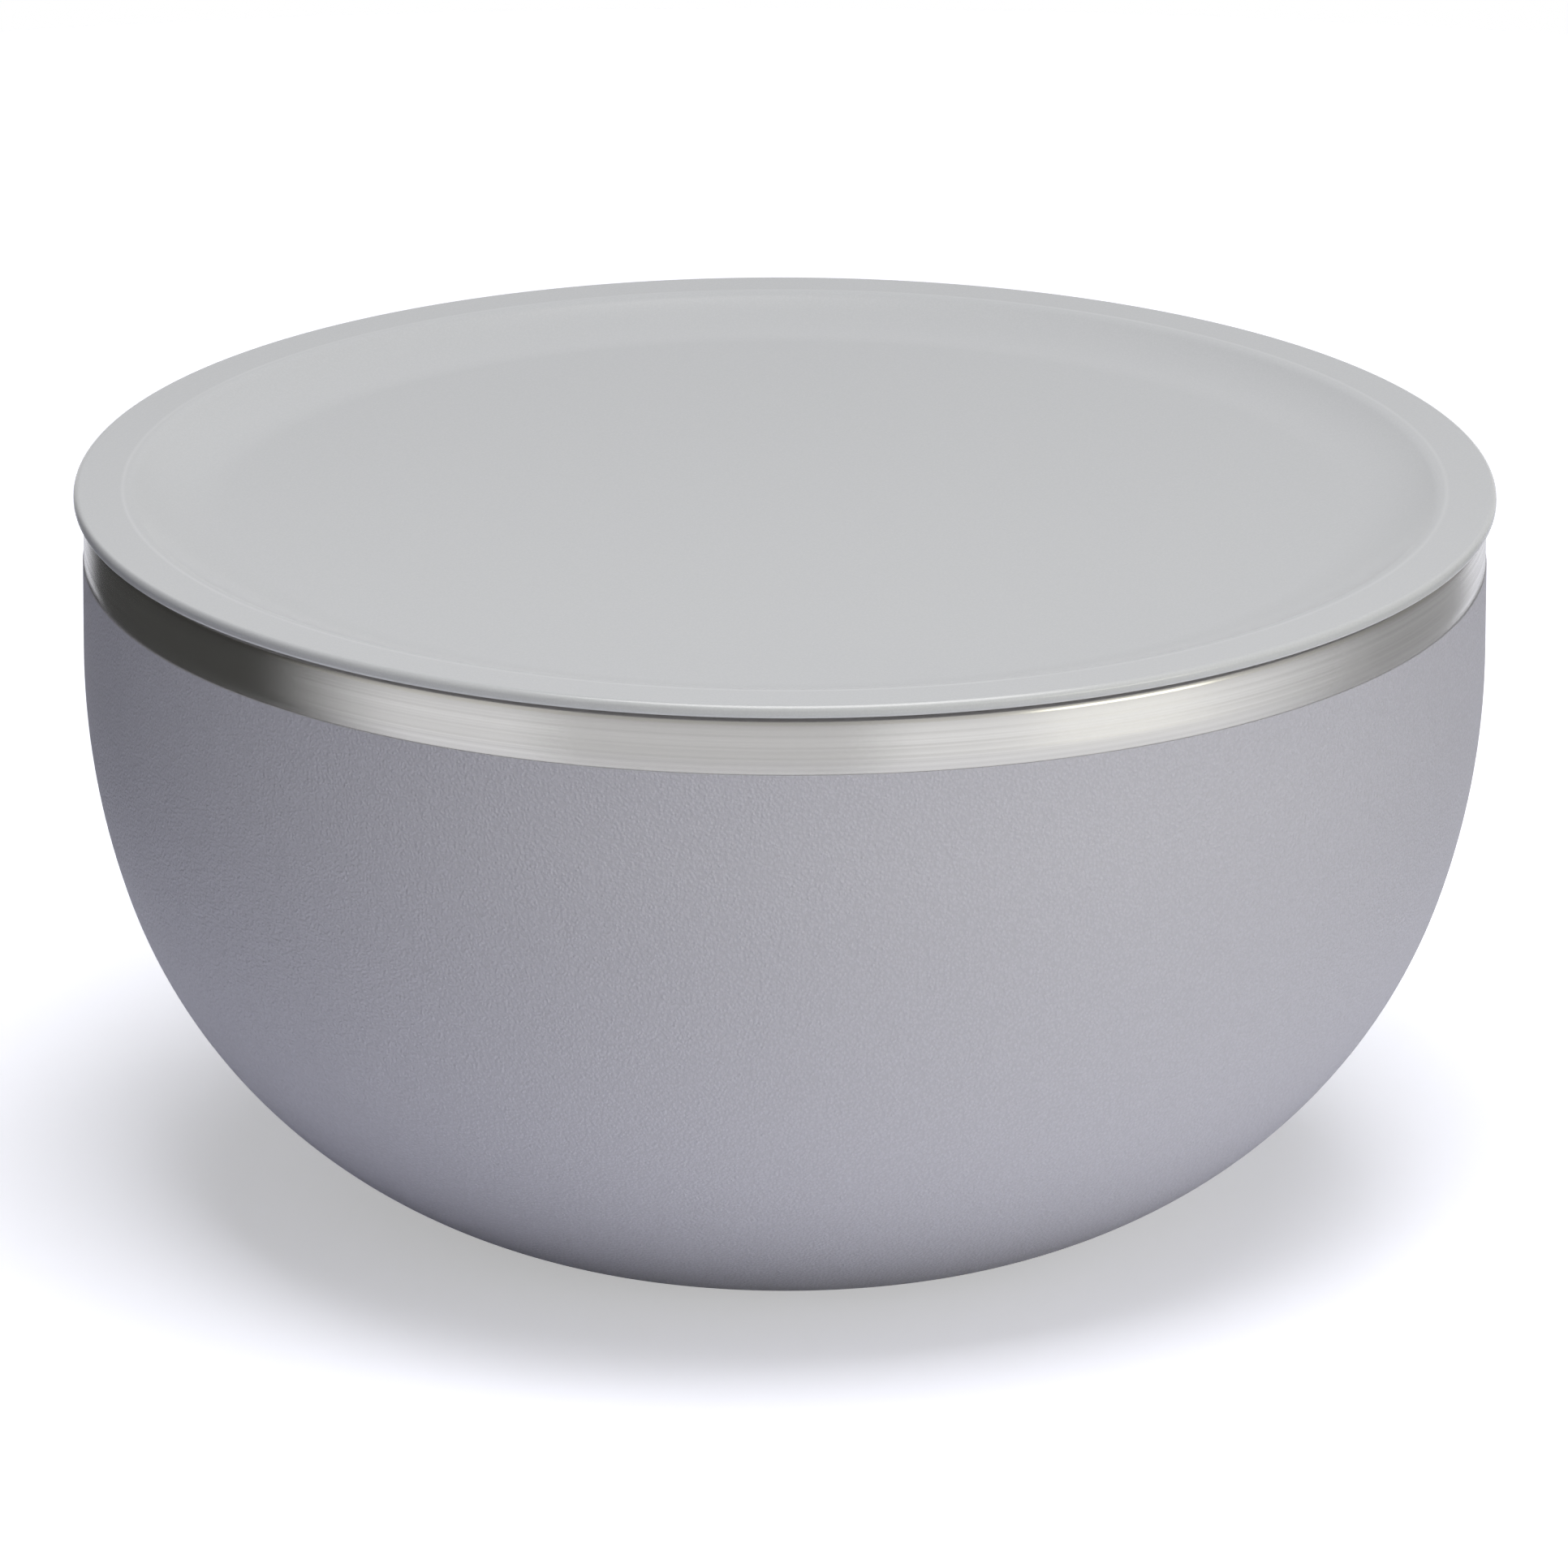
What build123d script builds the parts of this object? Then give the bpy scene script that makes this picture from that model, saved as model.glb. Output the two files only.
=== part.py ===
from build123d import *
from math import acos, atan2, cos, degrees, radians, sin, tan
import os

# Insulated stainless bowl with a press-in lid, in millimetres.
# The origin is the centre of the resting plane, and +Z runs up the axis.
# Every section is drawn in the XZ plane and turned about Z, except the getter.

# Sizes of the bowl
body_diameter = 260.7  # outside of the bare steel collar
bowl_height = 135.8  # resting plane to the top of the rim
base_diameter = 110.0  # flat under the outer shell
collar_height = 10.8  # bare collar, from the top of the rim to the coat
straight_height = 28.0  # top of the rim to where the side starts to curve in
shoulder_sweep = 18.5  # degrees, first arc of the side
heel_sweep = 23.2  # degrees, last arc of the side, into the flat
heel_radius = 34.3
sheet = 0.8  # drawn steel, both walls
coat = 0.18  # powder coat on the outer shell
spigot_height = 3.0  # edge of the shell that locates inside the collar
spigot_fit = 0.1  # radial clearance of that edge

# Sizes of the liner
rim_width = 3.2  # rolled rim, across the fold
vacuum_gap = 7.0  # between the two walls, below the mouth

# Sizes under the base
foot_height = 1.2  # silicone ring
foot_width = 9.0
foot_inset = 1.6  # ring edge inside the shell's flat
foot_round = 0.4
panel_rise = 1.2  # raised panel inside the foot ring
panel_margin = 1.5  # ring bore to the foot of the panel's step
bend_radius = 1.2  # outer face of each bend in the floor
cover_thickness = 0.8
cover_fit = 0.6  # cover edge to the panel's step
cover_round = 0.3
dimple_diameter = 18.0  # pocket round the evacuation port
dimple_depth = 3.0
port_diameter = 2.0
seal_diameter = 10.0  # glass bead that closes the port
seal_depth = 1.6
getter_diameter = 12.0
getter_height = 3.4
getter_wall = 0.4
pellet_fit = 0.2  # pellet to the cup's wall
pellet_drop = 0.6  # pellet top below the cup's brim
pellet_bevel = 0.3

# Sizes of the lid
lid_overhang = 1.85  # edge of the lid outside the collar
lid_wall = 2.5
seat_gap = 0.3  # lid above the rim
edge_round = 1.1  # upper edge
lower_edge_round = 1.0
ring_width = 9.3  # level ring, from the edge to the crease
crease_round = 5.0
dish_depth = 4.7
slope_run = 18.4  # level ring to the level floor of the dish
plug_depth = 11.0  # wall that enters the mouth, below the ring
plug_wall = 3.0
plug_gap = 1.2  # plug to the liner
plug_round = 0.8
groove_drop = 3.2  # ring underside to the gasket groove
groove_height = 4.4
groove_depth = 1.6
gasket_fit = 0.1  # gasket in its groove
fin_thickness = 0.7
fin_lift = 0.6  # rise of each fin from root to tip
fin_pitch = 2.4  # between the two fins
seal_clearance = 0.2  # fin tip to the liner

# Levels and radii that follow
body_radius = body_diameter / 2
base_radius = base_diameter / 2
shell_radius = body_radius + coat
shell_thickness = sheet + coat
collar_bore = body_radius - sheet
seam_height = bowl_height - collar_height
shoulder_height = bowl_height - straight_height
base_height = foot_height
foot_radius = base_radius - foot_inset
foot_bore = foot_radius - foot_width
panel_height = base_height + panel_rise
panel_radius = foot_bore - panel_margin - panel_rise
panel_top = panel_height + shell_thickness
dimple_radius = dimple_diameter / 2
dimple_height = panel_height + dimple_depth
port_radius = port_diameter / 2

# The side is three tangent arcs, which turn it from upright to level.
# Two radii follow from the width and the height that the heel leaves to the shoulder and the belly.
shoulder_angle = radians(shoulder_sweep)
heel_angle = radians(heel_sweep)
side_run = shell_radius - base_radius - heel_radius * sin(heel_angle)
side_drop = shoulder_height - base_height - heel_radius * (1 - cos(heel_angle))
shoulder_share = Vector(1 - cos(shoulder_angle), sin(shoulder_angle))  # run and drop of a unit radius
belly_share = Vector(cos(shoulder_angle) - sin(heel_angle), cos(heel_angle) - sin(shoulder_angle))
spread = belly_share.X * shoulder_share.Y - shoulder_share.X * belly_share.Y
shoulder_radius = (belly_share.X * side_drop - belly_share.Y * side_run) / spread
belly_radius = (shoulder_share.Y * side_run - shoulder_share.X * side_drop) / spread
shoulder_centre = Vector(shell_radius - shoulder_radius, shoulder_height)
outward = Vector(cos(shoulder_angle), -sin(shoulder_angle))
belly_centre = shoulder_centre + outward * (shoulder_radius - belly_radius)
heel_centre = Vector(base_radius, base_height + heel_radius)

# The liner keeps its distance from the shell, and its mouth is a cone tangent to belly and rim.
liner_inset = shell_thickness + vacuum_gap + sheet
rim_radius = rim_width / 2
rim_centre = Vector(body_radius - rim_radius, bowl_height - rim_radius)
across = rim_centre - belly_centre
mouth_angle = acos((belly_radius - liner_inset + rim_radius) / across.length) - atan2(across.Y, across.X)
mouth_taper = degrees(mouth_angle)
lip_radius = rim_centre.X - rim_radius * cos(mouth_angle)
lip_height = rim_centre.Y + rim_radius * sin(mouth_angle)

lid_radius = body_radius + lid_overhang
lid_seat = bowl_height + seat_gap
lid_top = lid_seat + lid_wall
ring_radius = lid_radius - ring_width
dish_radius = ring_radius - slope_run
dish_height = lid_top - dish_depth
plug_foot = lid_seat - plug_depth
groove_top = lid_seat - groove_drop
groove_foot = groove_top - groove_height
groove_middle = (groove_top + groove_foot) / 2

# The dish rises in one arc, which meets the rounding of the crease at a common tangent.
slope_radius = (slope_run**2 + dish_depth**2) / (2 * dish_depth) - crease_round
slope_sweep = degrees(atan2(slope_run, slope_radius + crease_round - dish_depth))


def mouth_radius(height):
    """Radius of the liner's tapered mouth at a height."""
    return lip_radius - (lip_height - height) * tan(mouth_angle)


def plug_radius(height):
    """Outside radius of the lid's plug, which follows the mouth's taper."""
    return mouth_radius(height) - plug_gap


groove_radius = plug_radius(groove_middle) - groove_depth

os.makedirs("parts", exist_ok=True)


# Coated outer shell: upright side, belly, heel and a floor with a raised panel
with BuildPart() as outer_shell:
    with BuildSketch(Plane.XZ):
        with BuildLine():
            Line((shell_radius, seam_height), (shell_radius, shoulder_height))
            CenterArc(shoulder_centre, shoulder_radius, 0, -shoulder_sweep)
            CenterArc(belly_centre, belly_radius, -shoulder_sweep, heel_sweep + shoulder_sweep - 90)
            heel = CenterArc(heel_centre, heel_radius, heel_sweep - 90, -heel_sweep)
            FilletPolyline(
                heel @ 1,
                (panel_radius + panel_rise, base_height),
                (panel_radius, panel_height),
                (dimple_radius + dimple_depth, panel_height),
                (dimple_radius, dimple_height),
                (port_radius, dimple_height),
                radius=bend_radius,
            )
            offset(amount=shell_thickness, side=Side.RIGHT)
        make_face()
        # Joggled edge that stands inside the collar
        spigot_radius = collar_bore - spigot_fit
        spigot_bore = spigot_radius - sheet
        with BuildLine():
            Polyline(
                (shell_radius - coat, seam_height),
                (spigot_radius, seam_height),
                (spigot_radius, seam_height + spigot_height),
                (spigot_bore, seam_height + spigot_height),
                (spigot_bore, seam_height - sheet),
                (shell_radius - coat, seam_height - sheet - (shell_radius - coat - spigot_bore)),
                close=True,
            )
        make_face()
    revolve(axis=Axis.Z)
outer_shell.part.label = "outer_shell"
export_step(outer_shell.part, "parts/outer_shell.step")


# Steel liner: collar, rolled rim, tapered mouth, belly and level floor
with BuildPart() as inner_liner:
    with BuildSketch(Plane.XZ):
        with BuildLine():
            Line((body_radius, seam_height), (body_radius, rim_centre.Y))
            lip = CenterArc(rim_centre, rim_radius, 0, 180 - mouth_taper)
            liner_belly = belly_radius - liner_inset
            belly = CenterArc(belly_centre, liner_belly, -mouth_taper, heel_sweep + mouth_taper - 90)
            Line(lip @ 1, belly @ 0)
            floor_edge = CenterArc(heel_centre, heel_radius - liner_inset, heel_sweep - 90, -heel_sweep)
            Line(floor_edge @ 1, (0, base_height + liner_inset))
            offset(amount=sheet, side=Side.LEFT)
        make_face()
    revolve(axis=Axis.Z)
inner_liner.part.label = "inner_liner"
export_step(inner_liner.part, "parts/inner_liner.step")


# Silicone ring that the bowl stands on
with BuildPart() as foot_ring:
    with BuildSketch():
        Circle(foot_radius)
        Circle(foot_bore, mode=Mode.SUBTRACT)
    extrude(amount=foot_height)
    fillet(foot_ring.faces().sort_by(Axis.Z)[0].edges(), radius=foot_round)
foot_ring.part.label = "foot_ring"
export_step(foot_ring.part, "parts/foot_ring.step")


# Disc that hides the evacuation port
with BuildPart() as base_cover:
    with BuildSketch(Plane.XY.offset(panel_height - cover_thickness)):
        Circle(panel_radius - cover_fit)
    extrude(amount=cover_thickness)
    fillet(base_cover.edges().sort_by(Axis.Z)[0], radius=cover_round)
base_cover.part.label = "base_cover"
export_step(base_cover.part, "parts/base_cover.step")


# Glass bead melted over the port, with its plug in the hole
with BuildPart() as port_seal:
    with BuildSketch(Plane.XZ):
        with BuildLine():
            bead_edge = (seal_diameter / 2, dimple_height)
            Polyline(
                bead_edge,
                (port_radius, dimple_height),
                (port_radius, dimple_height + shell_thickness),
                (0, dimple_height + shell_thickness),
                (0, dimple_height - seal_depth),
            )
            TangentArc((0, dimple_height - seal_depth), bead_edge, tangent=(1, 0))
        make_face()
    revolve(axis=Axis.Z)
port_seal.part.label = "port_seal"
export_step(port_seal.part, "parts/port_seal.step")


# Getter cup welded to the shell's panel inside the vacuum, and its pellet
getter_offset = (dimple_radius + dimple_depth + panel_radius) / 2
getter_radius = getter_diameter / 2
with BuildPart() as getter_cup:
    with BuildSketch(Plane.XY.offset(panel_top)):
        with Locations((getter_offset, 0)):
            Circle(getter_radius)
    extrude(amount=getter_height)
    brim = getter_cup.faces().sort_by(Axis.Z)[-1]
    offset(amount=-getter_wall, openings=brim)
getter_cup.part.label = "getter_cup"
export_step(getter_cup.part, "parts/getter_cup.step")

with BuildPart() as getter_pellet:
    with BuildSketch(Plane.XY.offset(panel_top + getter_wall)):
        with Locations((getter_offset, 0)):
            Circle(getter_radius - getter_wall - pellet_fit)
    extrude(amount=getter_height - getter_wall - pellet_drop)
    chamfer(getter_pellet.edges().sort_by(Axis.Z)[-1], length=pellet_bevel)
getter_pellet.part.label = "getter_pellet"
export_step(getter_pellet.part, "parts/getter_pellet.step")


# Moulded lid: level ring, soft crease, shallow dish and a plug with a groove
with BuildPart() as lid_panel:
    with BuildSketch(Plane.XZ):
        with BuildLine():
            Line((0, dish_height), (dish_radius, dish_height))
            CenterArc((dish_radius, dish_height + slope_radius), slope_radius, -90, slope_sweep)
            crease_centre = (ring_radius, lid_top - crease_round)
            crease = CenterArc(crease_centre, crease_round, 90 + slope_sweep, -slope_sweep)
            Line(crease @ 1, (lid_radius, lid_top))
            offset(amount=lid_wall, side=Side.RIGHT)
        make_face()
        with BuildLine():
            Polyline(
                (plug_radius(lid_seat), lid_seat + lid_wall / 2),
                (plug_radius(lid_seat), lid_seat),
                (plug_radius(plug_foot), plug_foot),
                (plug_radius(plug_foot) - plug_wall, plug_foot),
                (plug_radius(lid_seat) - plug_wall, lid_seat),
                (plug_radius(lid_seat) - plug_wall, lid_seat + lid_wall / 2),
                close=True,
            )
        make_face()
        with BuildLine():
            Polyline(
                (groove_radius, groove_top),
                (plug_radius(groove_top), groove_top),
                (plug_radius(groove_foot), groove_foot),
                (groove_radius, groove_foot),
                close=True,
            )
        make_face(mode=Mode.SUBTRACT)
    revolve(axis=Axis.Z)
    rings = lid_panel.edges().filter_by(GeomType.CIRCLE)
    edge_rings = rings.group_by(SortBy.RADIUS)[-1].sort_by(Axis.Z)
    fillet(edge_rings[-1], radius=edge_round)
    rings = lid_panel.edges().filter_by(GeomType.CIRCLE)
    fillet(rings.group_by(SortBy.RADIUS)[-1].sort_by(Axis.Z)[0], radius=lower_edge_round)
    fillet(lid_panel.faces().sort_by(Axis.Z)[0].edges(), radius=plug_round)
lid_panel.part.label = "lid_panel"
export_step(lid_panel.part, "parts/lid_panel.step")


# Silicone gasket with two upturned fins
with BuildPart() as lid_gasket:
    with BuildSketch(Plane.XZ):
        with BuildLine():
            Polyline(
                (groove_radius + gasket_fit, groove_top - gasket_fit),
                (plug_radius(groove_top), groove_top - gasket_fit),
                (plug_radius(groove_foot), groove_foot + gasket_fit),
                (groove_radius + gasket_fit, groove_foot + gasket_fit),
                close=True,
            )
        make_face()
        for fin_level in (groove_middle - fin_pitch / 2, groove_middle + fin_pitch / 2):
            fin_foot = fin_level - fin_thickness / 2
            fin_head = fin_level + fin_thickness / 2
            fin_root = plug_radius(fin_level) - groove_depth / 2
            with BuildLine():
                Polyline(
                    (fin_root, fin_head),
                    (fin_root, fin_foot),
                    (mouth_radius(fin_foot + fin_lift) - seal_clearance, fin_foot + fin_lift),
                    (mouth_radius(fin_head + fin_lift) - seal_clearance, fin_head + fin_lift),
                    close=True,
                )
            make_face()
    revolve(axis=Axis.Z)
lid_gasket.part.label = "lid_gasket"
export_step(lid_gasket.part, "parts/lid_gasket.step")
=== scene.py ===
"""Looks of an insulated steel bowl with a press-in lid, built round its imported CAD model.

Lengths are in metres and angles in degrees, in the CAD frame: the origin is the centre of the resting plane,
+Z runs up the axis, and the camera stands on the -Y side. Each turned piece is a half section carried round
the axis. The three pieces that are sealed inside the wall keep their CAD mesh and get a finish.
"""

import logging
from dataclasses import dataclass, field
from enum import Enum
from math import acos, atan2, cos, hypot, pi, radians, sin, tan
from typing import Any

import bpy
import numpy as np
from mathutils import Matrix, Vector


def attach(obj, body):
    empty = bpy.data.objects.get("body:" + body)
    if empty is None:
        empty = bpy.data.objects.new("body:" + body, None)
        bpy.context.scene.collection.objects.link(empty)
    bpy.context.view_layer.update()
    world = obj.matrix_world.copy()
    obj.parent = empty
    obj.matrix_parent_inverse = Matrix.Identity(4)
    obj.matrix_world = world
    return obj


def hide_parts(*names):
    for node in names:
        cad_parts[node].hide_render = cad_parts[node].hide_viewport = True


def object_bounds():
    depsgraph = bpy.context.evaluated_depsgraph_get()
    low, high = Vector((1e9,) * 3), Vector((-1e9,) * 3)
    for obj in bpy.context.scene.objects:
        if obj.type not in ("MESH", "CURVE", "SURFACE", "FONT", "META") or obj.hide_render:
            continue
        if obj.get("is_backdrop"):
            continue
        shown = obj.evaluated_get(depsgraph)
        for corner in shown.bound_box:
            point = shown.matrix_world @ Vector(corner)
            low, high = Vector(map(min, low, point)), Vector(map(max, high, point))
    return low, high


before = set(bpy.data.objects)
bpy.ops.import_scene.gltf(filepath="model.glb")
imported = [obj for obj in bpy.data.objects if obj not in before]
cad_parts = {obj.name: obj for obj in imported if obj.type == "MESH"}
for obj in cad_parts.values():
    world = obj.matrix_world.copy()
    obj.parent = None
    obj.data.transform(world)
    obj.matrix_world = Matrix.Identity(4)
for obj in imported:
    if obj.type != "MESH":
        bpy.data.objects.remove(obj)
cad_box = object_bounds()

log = logging.getLogger("bowl")

Colour = tuple[float, float, float]
Point = tuple[float, float]
Material = bpy.types.Material
Node = bpy.types.Node
Piece = bpy.types.Object
Socket = bpy.types.NodeSocket

TURN_SEGMENTS = 320
LONG_STEP = 1.0  # degrees between points of a long arc
FINE_STEP = 2.0  # of a small arc
RIM_STEP = 5.0  # of the rolled rim
MOULD_STEP = 6.0  # of a moulded corner
BEND_STEP = 9.0  # of a pressed bend
EDGE_STEP = 10.0  # of the shell's upper edge
FIN_STEP = 12.0  # of the gasket's corners
AXIS_LIMIT = 1e-9  # a radius below this lies on the axis
SAME_POINT = 1e-8  # points no further apart than this are one
ROOM_SHARE = 0.49  # most of a line that one rounding takes up
UNIT: Point = (0.0, 1.0)
DULL_ROUGHNESS = 0.9  # of card and paper


class Body(Enum):
    """Moving bodies of the CAD model."""

    BOWL = "bowl"
    LID = "lid"


class Brushing(Enum):
    """What the fine lines of a brushed steel surface follow."""

    ROUND_THE_AXIS = "along"
    PRESSED = "height"


def arc(centre: Point, radius: float, start: float, stop: float, step: float = LONG_STEP) -> np.ndarray:
    """Points of a circular arc, evenly spaced by angle.

    Args:
        centre: Centre in the (r, z) plane.
        radius: Radius of the arc.
        start: Angle of the first point, anticlockwise from +r.
        stop: Angle of the last point.
        step: Largest angle between two points.

    Returns:
        An (n, 2) array of (r, z) points, both ends included.
    """
    count = max(2, int(np.ceil(abs(stop - start) / step)) + 1)
    angle = np.radians(np.linspace(start, stop, count))
    return np.column_stack((centre[0] + radius * np.cos(angle), centre[1] + radius * np.sin(angle)))


def rounded(corners: list[tuple[float, float, float]], step: float = FINE_STEP) -> np.ndarray:
    """Open run of straight lines whose corners are rounded.

    At a corner of half angle h, an arc of the given radius touches both lines at radius / tan(h) from the
    corner. Its points are spherical blends of the two directions from the arc's centre to where it touches.

    Args:
        corners: (r, z, radius) of each corner; a radius of zero keeps the point as it is.
        step: Largest angle between two points of a rounding.

    Returns:
        An (n, 2) array of (r, z) points.
    """
    table = np.array(corners, dtype=float)
    spot, radius = table[:, :2], table[:, 2]
    runs = [spot[:1]]
    for before, here, after, bend in zip(spot[:-2], spot[1:-1], spot[2:], radius[1:-1]):
        if bend <= 0:
            runs.append(here[None])
            continue
        back, ahead = before - here, after - here
        room = min(np.linalg.norm(back), np.linalg.norm(ahead))
        back, ahead = back / np.linalg.norm(back), ahead / np.linalg.norm(ahead)
        half = 0.5 * acos(float(np.clip(back @ ahead, -1, 1)))
        reach = min(bend / tan(half), ROOM_SHARE * room)
        bend = reach * tan(half)
        middle = here + (back + ahead) / np.linalg.norm(back + ahead) * bend / sin(half)
        first, last = (here + back * reach - middle) / bend, (here + ahead * reach - middle) / bend
        sweep = pi - 2 * half
        share = np.linspace(0, 1, max(3, int(np.ceil(np.degrees(sweep) / step)) + 1))[:, None]
        blend = np.sin((1 - share) * sweep) * first + np.sin(share * sweep) * last
        runs.append(middle + bend * blend / sin(sweep))
    runs.append(spot[-1:])
    return np.vstack(runs)


def joined(*runs: np.ndarray) -> np.ndarray:
    """Runs of points put end to end, with repeated points left out."""
    points = np.vstack(runs)
    return points[np.append(True, np.linalg.norm(np.diff(points, axis=0), axis=1) > SAME_POINT)]


def divided(points: np.ndarray, longest: float) -> np.ndarray:
    """The same run of points with long straight lines cut into equal lengths.

    Args:
        points: (n, 2) run of points.
        longest: Largest length between two points of the result.

    Returns:
        An (m, 2) array that holds every point of the run.
    """
    length = np.linalg.norm(np.diff(points, axis=0), axis=1)
    cuts = np.maximum(1, np.ceil(length / longest)).astype(int)
    start = np.repeat(np.arange(len(cuts)), cuts)
    share = (np.arange(cuts.sum()) - np.repeat(np.cumsum(cuts) - cuts, cuts)) / cuts[start]
    inner = points[start] + (points[start + 1] - points[start]) * share[:, None]
    return np.vstack((inner, points[-1:]))


def stood(name: str, data: Any) -> Piece:
    """New object of the scene that holds a mesh, a light or a camera.

    Args:
        name: Name of the new object.
        data: What it holds.

    Returns:
        The new object, at the origin.
    """
    piece = bpy.data.objects.new(name, data)
    bpy.context.scene.collection.objects.link(piece)
    return piece


def turned(name: str, outline: np.ndarray, longest: float = 0.004) -> Piece:
    """Surface of revolution of a half section, with its poles and seam closed.

    A point (r, z) of the section goes to (r cos t, r sin t, z) at each angle t. Neighbouring points and
    angles are joined by quads, and by triangles where the section meets the axis. A vertex's normal is the
    mean of the two lines that meet there, weighted by their lengths. The float attribute along is the
    distance run along the section, and the UV map runs u along the section and v round the axis.

    Args:
        name: Name of the new object.
        outline: (n, 2) section. It is closed by a line from its last point to its first, or by the axis.
        longest: Largest length of a line of the section.

    Returns:
        The new object, at the origin.
    """
    on_axis = outline[0, 0] < AXIS_LIMIT and outline[-1, 0] < AXIS_LIMIT
    following = np.roll(outline, -1, axis=0)
    if np.sum(outline[:, 0] * following[:, 1] - following[:, 0] * outline[:, 1]) < 0:
        outline = outline[::-1]
    points = divided(outline if on_axis else np.vstack((outline, outline[:1])), longest)
    line = np.diff(points, axis=0)
    along = np.concatenate(([0], np.cumsum(np.linalg.norm(line, axis=1))))
    side = np.column_stack((line[:, 1], -line[:, 0]))
    ends = (side[:1], side[-1:]) if on_axis else (side[-1:], side[:1])
    normal = np.vstack((ends[0], side)) + np.vstack((side, ends[1]))
    normal /= np.linalg.norm(normal, axis=1)[:, None]

    pole = points[:, 0] < AXIS_LIMIT
    rows = len(points) if on_axis else len(points) - 1
    size = np.where(pole[:rows], 1, TURN_SEGMENTS)
    start = np.cumsum(size) - size
    angle = 2 * pi * np.arange(TURN_SEGMENTS) / TURN_SEGMENTS
    row = np.repeat(np.arange(rows), size)
    turn = angle[(np.arange(size.sum()) - start[row])]
    around = np.column_stack((np.cos(turn), np.sin(turn)))
    spots = np.column_stack((points[row, :1] * around, points[row, 1]))
    normals = np.column_stack((normal[row, :1] * around, normal[row, 1]))

    strip, step = np.meshgrid(np.arange(len(points) - 1), np.arange(TURN_SEGMENTS), indexing="ij")
    strip, step = strip.ravel(), step.ravel()
    corner_row = np.stack((strip, strip, strip + 1, strip + 1), axis=1)
    corner_step = np.stack((step, step + 1, step + 1, step), axis=1)
    held = corner_row % rows
    index = start[held] + np.where(pole[held], 0, corner_step % TURN_SEGMENTS)
    chart = np.stack((along[corner_row], corner_step / TURN_SEGMENTS), axis=2)
    low, high = pole[strip], pole[strip + 1]
    quads = ~(low | high)
    faces = index[quads].tolist() + index[low][:, 1:].tolist() + index[high][:, :3].tolist()
    uv = np.concatenate((chart[quads].ravel(), chart[low][:, 1:].ravel(), chart[high][:, :3].ravel()))

    mesh = bpy.data.meshes.new(name)
    mesh.from_pydata(spots.tolist(), [], faces)
    mesh.polygons.foreach_set("use_smooth", np.ones(len(faces), dtype=bool))
    mesh.uv_layers.new(name="turn").uv.foreach_set("vector", uv)
    mesh.attributes.new("along", "FLOAT", "POINT").data.foreach_set("value", along[row])
    mesh.normals_split_custom_set_from_vertices(normals.tolist())
    mesh.update()
    return stood(name, mesh)


def sheet_mesh(name: str, spots: np.ndarray) -> Piece:
    """Open surface through a grid of points, one quad between each four neighbours.

    Args:
        name: Name of the new object.
        spots: (rows, columns, 3) grid of points.

    Returns:
        The new object, at the origin.
    """
    rows, columns = spots.shape[:2]
    number = np.arange(rows * columns).reshape(rows, columns)
    faces = np.stack((number[:-1, :-1], number[:-1, 1:], number[1:, 1:], number[1:, :-1]), axis=2)
    mesh = bpy.data.meshes.new(name)
    mesh.from_pydata(spots.reshape(-1, 3).tolist(), [], faces.reshape(-1, 4).tolist())
    return stood(name, mesh)


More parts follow.
